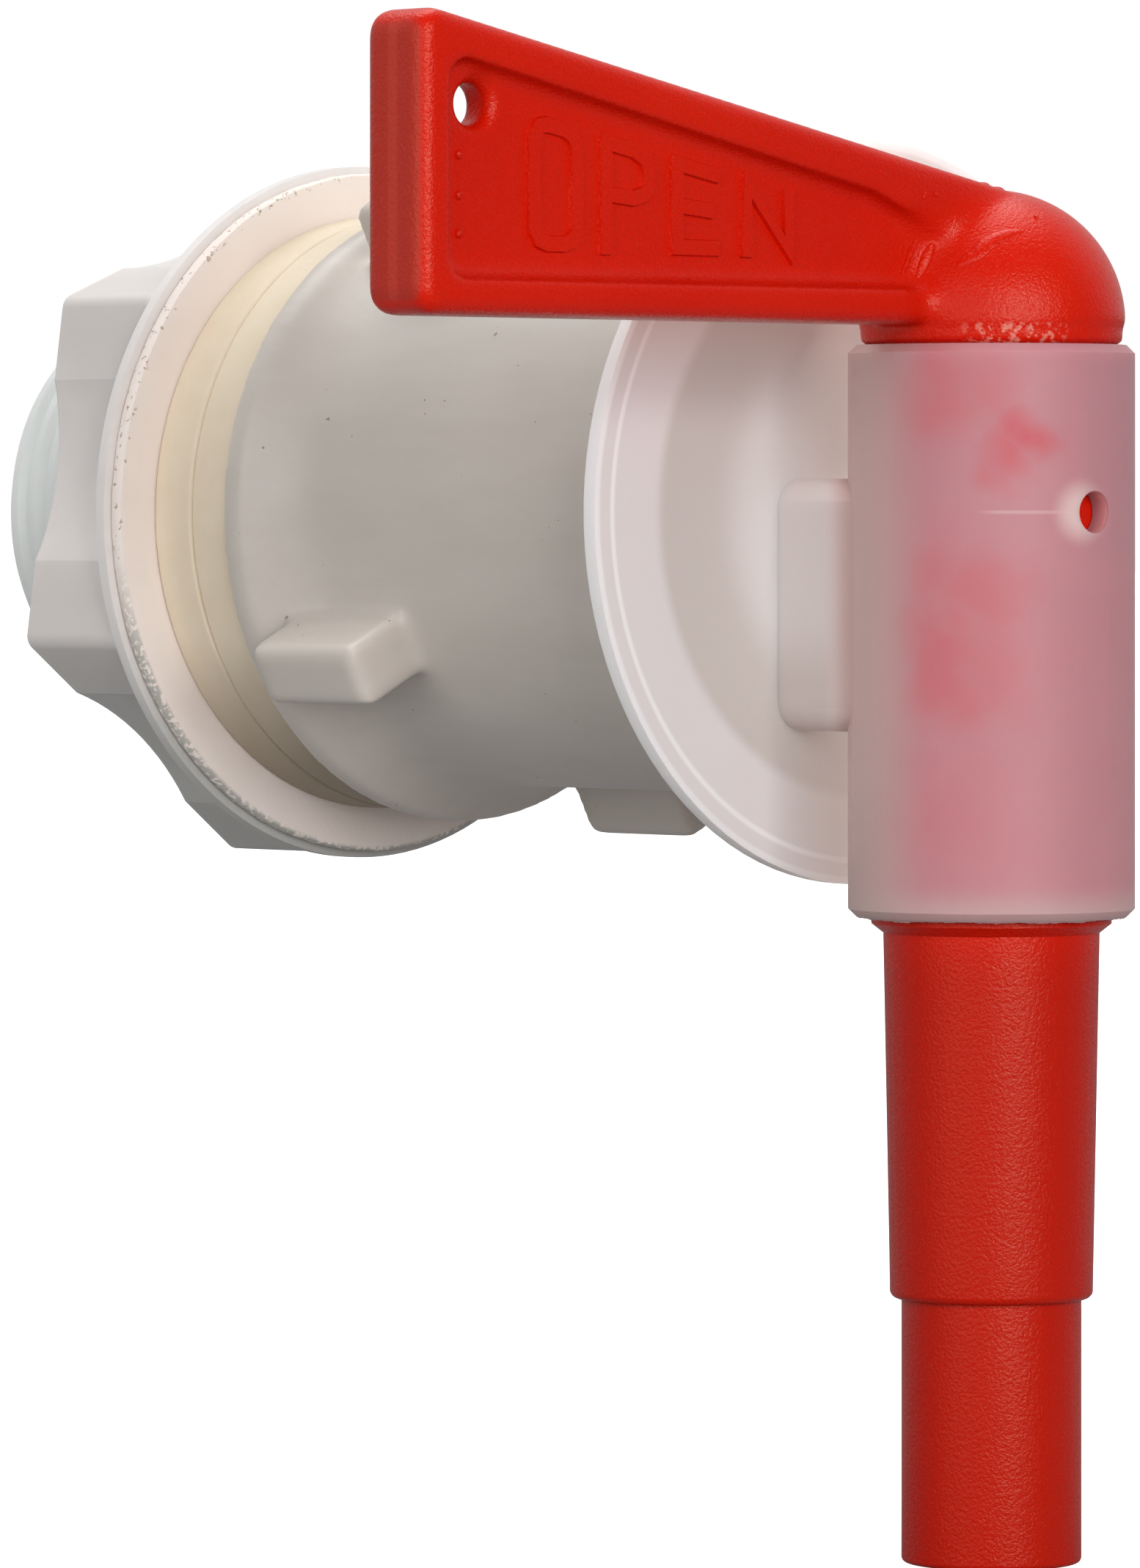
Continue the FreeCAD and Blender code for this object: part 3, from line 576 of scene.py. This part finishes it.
def half_of(node, name, height, keep_top):
    """The part of a CAD node above or below a height, closed with a flat cap."""
    piece = merged_copy(node, name)
    work = bmesh.new()
    work.from_mesh(piece.data)
    cut_edges = bmesh.ops.bisect_plane(
        work, geom=work.verts[:] + work.edges[:] + work.faces[:], dist=1e-7,
        plane_co=(0, 0, height * MM), plane_no=(0, 0, 1),
        clear_inner=keep_top, clear_outer=not keep_top)["geom_cut"]
    rims = [e for e in cut_edges if isinstance(e, bmesh.types.BMEdge)]
    bmesh.ops.holes_fill(work, edges=rims)
    bmesh.ops.recalc_face_normals(work, faces=work.faces)
    work.to_mesh(piece.data)
    work.free()
    return piece


def ramp(value, low, high):
    """A soft step from 0 at low to 1 at high, for arrays."""
    t = np.clip((value - low) / (high - low), 0, 1)
    return t * t * (3 - 2 * t)


lever = half_of("lever_spout", "lever", SPLIT, True)
points, edges = remeshed(lever, VOXEL)
below_top = RIDGE_AT_PLUG + RIDGE_SLOPE * points[:, 0] - points[:, 2]
joint_zone = (ramp(points[:, 0], -8.8, -6.2) * (1 - ramp(points[:, 0], -3.6, -0.8))
              * ramp(points[:, 2], 9.97, 10.9) * ramp(below_top, 0.3, 2.2))
points = relaxed(points, edges, np.full(len(points), HALF_WAY), EDGE_ROUNDS)
points = relaxed(points, edges, HALF_WAY * joint_zone, SMOOTH_ROUNDS)
reshape(lever, points)

spout = half_of("lever_spout", "plug_and_spout", SPLIT - LAP, False)
soften(spout, 32)

PANEL_FLOOR_Y = -47.2
LETTER_HEIGHT = 0.2
LETTER_SINK = 0.15
LETTER_STROKE = 1.0
LETTER_WIDE = 4.0
LETTER_PITCH = 5.04
LETTER_LEFT = -35.1
LETTER_FOOT = 13.2
LETTER_TOP = 20.55
LETTER_SLOPE = -0.19
LETTER_DRAFT = 0.12
LETTER_OFFSET = 0.008
BUMP_SINK = 0.08
BUMP_RADIUS = 0.28
BUMP_HEIGHT = 0.2


def letter_point(column, row):
    """A point of the slanting letter panel: row 0 is the foot line, row 1 the falling top."""
    high = LETTER_TOP + LETTER_SLOPE * (column - LETTER_LEFT) - LETTER_STROKE / 2
    low = LETTER_FOOT + LETTER_STROKE / 2
    return (column, low + (high - low) * row)


def raised_stroke(path, closed=False, width=LETTER_STROKE, height=LETTER_HEIGHT):
    """A low bar with sloping sides along a path of (x, z) points: at each point its section
    stands across the mean of the two runs, so that the corners are mitred."""
    path = np.array(path)
    ahead = np.roll(path, -1, 0) - path
    behind = path - np.roll(path, 1, 0)
    if not closed:
        ahead[-1], behind[0] = behind[-1], ahead[0]
    ahead /= np.linalg.norm(ahead, axis=1)[:, None]
    behind /= np.linalg.norm(behind, axis=1)[:, None]
    along = ahead + behind
    along /= np.linalg.norm(along, axis=1)[:, None]
    stretch = 1 / np.clip((along * ahead).sum(1), 0.5, 1)
    side = np.stack([-along[:, 1], along[:, 0]], 1) * stretch[:, None]
    half = width / 2
    section = ((-half, LETTER_SINK), (-half + LETTER_DRAFT, -height),
               (half - LETTER_DRAFT, -height), (half, LETTER_SINK))
    shift, deep = np.array(section).T
    flat = path[:, None] + side[:, None] * shift[:, None]
    level = np.broadcast_to(PANEL_FLOOR_Y + deep, flat.shape[:2])
    points = np.stack([flat[..., 0], level, flat[..., 1]], -1).reshape(-1, 3)
    faces = grid_faces(len(path), 4, closed, True).tolist()
    if not closed:
        last = 4 * (len(path) - 1)
        faces += [[3, 2, 1, 0], [last, last + 1, last + 2, last + 3]]
    return points, faces


def dome_bump(x, z, radius, tall):
    """A small round bump on the panel: height rises as a sine, while radius falls as a cosine."""
    rows, steps = 5, 14
    rise = np.linspace(0, np.pi / 2, rows)[:-1, None]
    turn = np.linspace(0, 2 * np.pi, steps, endpoint=False)[None, :]
    level = PANEL_FLOOR_Y + BUMP_SINK - (tall + BUMP_SINK) * np.sin(rise)
    rings = np.stack([x + radius * np.cos(rise) * np.cos(turn), level + 0 * turn,
                      z + radius * np.cos(rise) * np.sin(turn)], -1).reshape(-1, 3)
    points = np.concatenate([rings, [(x, PANEL_FLOOR_Y - tall, z)]])
    faces = grid_faces(rows - 1, steps, False, True).tolist()
    base = (rows - 2) * steps
    faces += [[base + i, base + (i + 1) % steps, len(rings)] for i in range(steps)]
    faces.append(list(range(steps))[::-1])
    return points, faces


def letters():
    """The strokes of O, P, E and N, each letter a pitch further along."""
    wide = LETTER_WIDE - LETTER_STROKE
    starts = [LETTER_LEFT + LETTER_STROKE / 2 + LETTER_PITCH * i for i in range(4)]
    o, p, e, n = starts
    corner = 0.13
    yield [letter_point(o + a * wide, b) for a, b in (
        (0, corner), (0.12, 0.03), (0.3, 0), (0.7, 0), (0.88, 0.03), (1, corner),
        (1, 1 - corner), (0.88, 0.97), (0.7, 1), (0.3, 1), (0.12, 0.97), (0, 1 - corner))], True
    yield [letter_point(p, -0.09), letter_point(p, 1.09)], False
    yield [letter_point(p + a * wide, b) for a, b in (
        (0, 1), (0.65, 1), (0.92, 0.94), (1, 0.84),
        (1, 0.66), (0.92, 0.56), (0.65, 0.5), (0, 0.5))], False
    yield [letter_point(e + wide, 1), letter_point(e, 1),
           letter_point(e, 0), letter_point(e + wide, 0)], False
    yield [letter_point(e, 0.5), letter_point(e + 0.85 * wide, 0.5)], False
    yield [letter_point(n, -0.12), letter_point(n, 1.0), letter_point(n + wide, 0.0),
           letter_point(n + wide, 1.12)], False


def seen_at(tree, column, row):
    """The point of a surface, in millimetres, and its normal, where the camera's line through
    a pixel of its frame meets it."""
    turn = math.radians(CAMERA_TURN)
    across = float(column - PHOTO_WIDTH / 2) / FOCAL_PIXELS
    rise = float(HORIZON_ROW - row) / FOCAL_PIXELS
    ahead = Vector((-math.sin(turn), math.cos(turn), 0))
    right = Vector((math.cos(turn), math.sin(turn), 0))
    look = (ahead + right * across + Vector((0, 0, rise))).normalized()
    hit, normal, _, _ = tree.ray_cast(Vector(CAMERA_PLACE), look)
    return hit / MM, normal


def surface_ridge(tree, pixels, half, tall):
    """A thin ridge over a surface along a line of the frame's pixels: half-round in section,
    and swelling from nothing at both ends as the square root of a sine."""
    rows = np.array(pixels, float)
    t = np.linspace(0, len(rows) - 1, 8 * (len(rows) - 1) + 1)
    line = np.stack([np.interp(t, np.arange(len(rows)), rows[:, i]) for i in range(2)], 1)
    found = [seen_at(tree, *pixel) for pixel in line]
    centres = np.array([hit for hit, normal in found])
    normals = np.array([normal for hit, normal in found])
    along = np.gradient(centres, axis=0)
    side = np.cross(along, normals)
    side /= np.linalg.norm(side, axis=1)[:, None]
    swell = np.sqrt(np.sin(np.pi * np.linspace(0.02, 0.98, len(t))))[:, None, None]
    turn = np.linspace(0, 2 * np.pi, 10, endpoint=False)[None, :, None]
    points = centres[:, None] + swell * (half * np.cos(turn) * side[:, None]
                                         + tall * np.sin(turn) * normals[:, None])
    faces = grid_faces(len(t), 10, columns_close=True).tolist()
    last = 10 * (len(t) - 1)
    faces += [list(range(10))[::-1], list(range(last, last + 10))]
    return points.reshape(-1, 3), faces


def blob(centre, radii):
    """A small rounded lump: an ellipsoid about a centre, with its three radii."""
    rows, steps = 9, 14
    dip = np.linspace(0, np.pi, rows)[1:-1, None]
    turn = np.linspace(0, 2 * np.pi, steps, endpoint=False)[None, :]
    unit = np.stack([np.sin(dip) * np.cos(turn), np.sin(dip) * np.sin(turn),
                     np.cos(dip) * np.ones_like(turn)], -1).reshape(-1, 3)
    points = np.concatenate([unit, [(0, 0, 1), (0, 0, -1)]]) * radii + centre
    faces = grid_faces(rows - 2, steps, False, True).tolist()
    top, base = len(unit), (rows - 3) * steps
    for i in range(steps):
        faces += [[i, (i + 1) % steps, top], [base + (i + 1) % steps, base + i, top + 1]]
    return points, faces


# Small marks of the mould and of use: bumps at x, z on the panel; ridges along pixels of the
# frame, with half width and height; and lumps of the gate's torn stub, with centre and radii.
BUMPS = ((-39.7, 18.1), (-39.7, 16.05), (-39.7, 14.1))
RIDGES = (
    (((1246, 329), (1230, 373)), 0.16, 0.22),
    (((1272, 331), (1263, 352), (1251, 379)), 0.34, 0.16),
    (((1262, 262), (1258, 272)), 0.1, 0.1),
    (((1274, 262), (1277, 268)), 0.1, 0.1),
    (((1304, 362), (1318, 353), (1331, 346), (1343, 334), (1357, 325), (1375, 318), (1395, 315)), 0.42, 0.1),
    (((1410, 293), (1415, 299)), 0.12, 0.12))
GATE = (((-0.7, -46.1, 17.35), (0.5, 0.5, 0.35)), ((0.25, -46.2, 17.2), (0.55, 0.45, 0.28)),
        ((0.9, -46.0, 17.05), (0.35, 0.4, 0.2)))

bpy.context.view_layer.update()
surface = BVHTree.FromObject(lever, bpy.context.evaluated_depsgraph_get())
marks = [surface_ridge(surface, *ridge) for ridge in RIDGES]
parts = [parts_of(lever), parts_of(spout)] + marks + [blob(*lump) for lump in GATE]
parts += [raised_stroke(path, closed, height=LETTER_HEIGHT + LETTER_OFFSET * order)
          for order, (path, closed) in enumerate(letters())]
parts += [dome_bump(x, z, BUMP_RADIUS, BUMP_HEIGHT) for x, z in BUMPS]
handle = joined("lever_moulding", parts)
soften(handle, 38)

LIT_RED = ((0.62, 0.006, 0.0003), (0.68, 0.011, 0.0004))
SPOUT_SHADE_RED = (0.52, 0.008, 0.0008)
END_SHADE_RED = (0.475, 0.030, 0.018)
SEAM_HIGHLIGHT_RED = (0.53, 0.042, 0.027)
RING_GLINT_RED = (0.80, 0.26, 0.20)

red = Finish("red_lever", Specular_IOR_Level=0.3, Specular_Tint=(1.0, 0.8, 0.62))
x, y, z = red.place()
grain = red.noise(5.5, 2.0, 0.6)
tone = red.mix(red.noise(0.12, 3.0), *LIT_RED)
# Painted shade: the spout darker towards its tip.
tone = red.mix(red.step(z, -20.0, -26.0), tone, SPOUT_SHADE_RED)
# Painted shade: the lever's end face is darker, with a painted highlight along the seam in its middle.
end_face = red.step(x, -42.9, -43.15)
seam_highlight = red.step(y, -46.6, -46.3) * red.step(y, -45.6, -45.9)
tone = red.mix(end_face, tone, red.mix(seam_highlight, END_SHADE_RED, SEAM_HIGHLIGHT_RED))
# Painted highlights: pale specks of painted glint on the front of the ring under the dome.
ring_glints = (red.step(red.noise(2.6, 3.0), 0.5, 0.62) * red.step(z, 8.6, 8.9) * red.step(z, 10.15, 9.9)
         * red.spot((-4.0, -51.9, 9.4), 2.5, 0.5))
red.set("Base Color", red.mix(ring_glints * 0.8, tone, RING_GLINT_RED))
red.set("Roughness", 0.17 + grain * 0.24)
red.bump(grain, 0.9, 0.06)
handle.data.materials.append(red.material)
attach(handle, "lever")
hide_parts("lever_spout")


# Clamp collar: a long round moulding in the same natural plastic, that sits on the stem
# against the front gasket, with four lugs for the hand and a flared flange. Remeshing and
# relaxing round its edges.
COLLAR_VOXEL = 0.3
COLLAR_ROUNDS = 8
COLLAR_TONES = ((0.57, 0.52, 0.465), (0.68, 0.63, 0.58))
DUST = (0.20, 0.13, 0.07)

collar = merged_copy("clamp_collar", "collar_moulding")
points, edges = remeshed(collar, COLLAR_VOXEL)
reshape(collar, relaxed(points, edges, np.full(len(points), HALF_WAY), COLLAR_ROUNDS))
dull = Finish("natural_collar", Subsurface_Weight=0.2, Subsurface_Scale=0.001,
              Subsurface_Radius=(1.0, 0.8, 0.65))
flow = dull.noise(0.35, 4.0, 0.55, dull.stretched(1.0, 0.25, 1.0))
dust = dull.step(dull.noise(1.8, 1.0), 0.785, 0.80)
dull.set("Base Color", dull.mix(dust * 0.7, dull.mix(flow, *COLLAR_TONES), DUST))
dull.set("Roughness", 0.28 + dull.noise(1.2, 3.0) * 0.16)
dull.bump(dull.noise(1.6, 3.0), 0.2, 0.05)
collar.data.materials.append(dull.material)
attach(collar, "tap")
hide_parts("clamp_collar")


# Gaskets: two rings of cream rubber, moulded, that lie face to face on the stem. The
# container's wall goes between them.
CREAM = ((0.80, 0.675, 0.505), (0.88, 0.765, 0.60))
CREAM_SHADE_BELOW = (0.22, 0.17, 0.115)

cream = Finish("cream_gasket", Roughness=0.6)
x, y, z = cream.place()
tone = cream.mix(cream.noise(0.5, 4.0), *CREAM)
# Painted shade: the gaskets darker towards the bottom.
cream.set("Base Color", cream.mix(cream.step(z, -6.0, -16.0) * 0.8, tone, CREAM_SHADE_BELOW))
cream.bump(cream.noise(2.5, 3.0), 0.3, 0.05)
for name in ("front_gasket", "rear_gasket"):
    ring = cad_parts[name]
    ring.data.materials.clear()
    ring.data.materials.append(cream.material)


# Flat washer: a thin ring of pinkish white plastic, whose outer edge is ragged and dirty.
# It lies between the rear gasket and the nut, and moves back with the nut.
WASHER_IN = 12.1
WASHER_OUT = 19.55
WASHER_FRONT = 3.2
WASHER_THICK = 0.9
RING_STEPS = 900
EDGE_INSET = 0.05
BLUSH = ((0.93, 0.83, 0.765), (0.97, 0.885, 0.84))
SPECK = (0.34, 0.24, 0.13)
EDGE_GREY_BELOW = (0.40, 0.40, 0.36)

# The section runs round the ring's corners as radius and height. Its outer points follow
# the ragged edge, and lean in towards the back.
angle = np.linspace(0, 2 * np.pi, RING_STEPS, endpoint=False)
edge = ragged(angle, 4, 0.028)
lip = np.abs(ragged(angle, 9, 0.03))
front = WASHER_FRONT
back = WASHER_FRONT + WASHER_THICK
section = np.array([
    (WASHER_IN, front + 0.08), (WASHER_IN + 0.08, front), (15.0, front), (18.2, front),
    (19.2, front), (WASHER_OUT - 0.12, front + 0.03), (WASHER_OUT, front + 0.2),
    (WASHER_OUT, front + 0.5), (WASHER_OUT - 0.03, back - 0.2), (WASHER_OUT - 0.15, back - 0.03),
    (19.1, back), (15.0, back), (WASHER_IN + 0.08, back), (WASHER_IN, back - 0.08)])
share = ramp(section[:, 0], 19.0, 19.5)
radius = section[None, :, 0] + share * (edge[:, None] - EDGE_INSET)
radius = radius - share * lip[:, None] * (section[None, :, 1] - front)
height = np.repeat(section[None, :, 1], RING_STEPS, 0)
turn = np.repeat(angle[:, None], len(section), 1)
washer = new_piece(
    "washer_ring",
    np.stack([radius * np.sin(turn), height, radius * np.cos(turn)], -1).reshape(-1, 3),
    grid_faces(RING_STEPS, len(section), True, True))
face_outwards(washer.data)
soften(washer, 40)

blush = Finish("pressed_washer", Roughness=0.7)
x, y, z = blush.place()
out = (x * x + z * z).root()
specks = (blush.step(blush.noise(2.4, 3.0, 0.65), 0.60, 0.66) * blush.step(out, 19.0, 19.3)
          * blush.step(z, -6.0, 0.0))
# Grey patches on the outer edge, in its lower part only.
grey_edge_below = (blush.step(blush.noise(3.0, 3.0), 0.38, 0.52) * blush.step(out, 19.15, 19.4)
         * blush.step(z, -2.0, -9.0))
tone = blush.mix(blush.noise(0.3, 3.0), *BLUSH)
tone = blush.mix(specks * 0.8, tone, SPECK)
blush.set("Base Color", blush.mix(grey_edge_below * 0.75, tone, EDGE_GREY_BELOW))
blush.bump(blush.noise(3.0, 3.0), 0.4, 0.06)
washer.data.materials.append(blush.material)
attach(washer, "washer")
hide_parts("flat_washer")


# Hand nut: the same natural plastic, a little clearer, with a thin round flange and, behind
# it, a hexagon with scalloped flats, whose six corners are the lobes for the hand.
CLEAR = ((0.80, 0.755, 0.725), (0.88, 0.835, 0.81))
LOBE_SHADE = (0.62, 0.58, 0.555)
NUT_SHADE_BELOW = (0.42, 0.43, 0.41)

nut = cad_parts["back_nut"]
clear = Finish("natural_nut", Subsurface_Weight=0.3, Subsurface_Scale=0.0015,
               Subsurface_Radius=(1.0, 0.9, 0.8))
x, y, z = clear.place()
on_lobes = clear.step((x * x + z * z).root(), 16.9, 18.9) * clear.step(y, 4.9, 5.6)
tone = clear.mix(clear.noise(0.3, 3.0), *CLEAR)
# Painted shade on the lobes' outer faces beside the flange.
tone = clear.mix(on_lobes * 0.5, tone, LOBE_SHADE)
# Painted shade: the nut darker towards the bottom.
clear.set("Base Color", clear.mix(clear.step(z, -5.0, -15.0) * 0.75, tone, NUT_SHADE_BELOW))
clear.set("Roughness", 0.34 + clear.noise(1.0, 3.0) * 0.16)
clear.bump(clear.noise(1.2, 3.0), 0.25, 0.06)
nut.data.materials.clear()
nut.data.materials.append(clear.material)
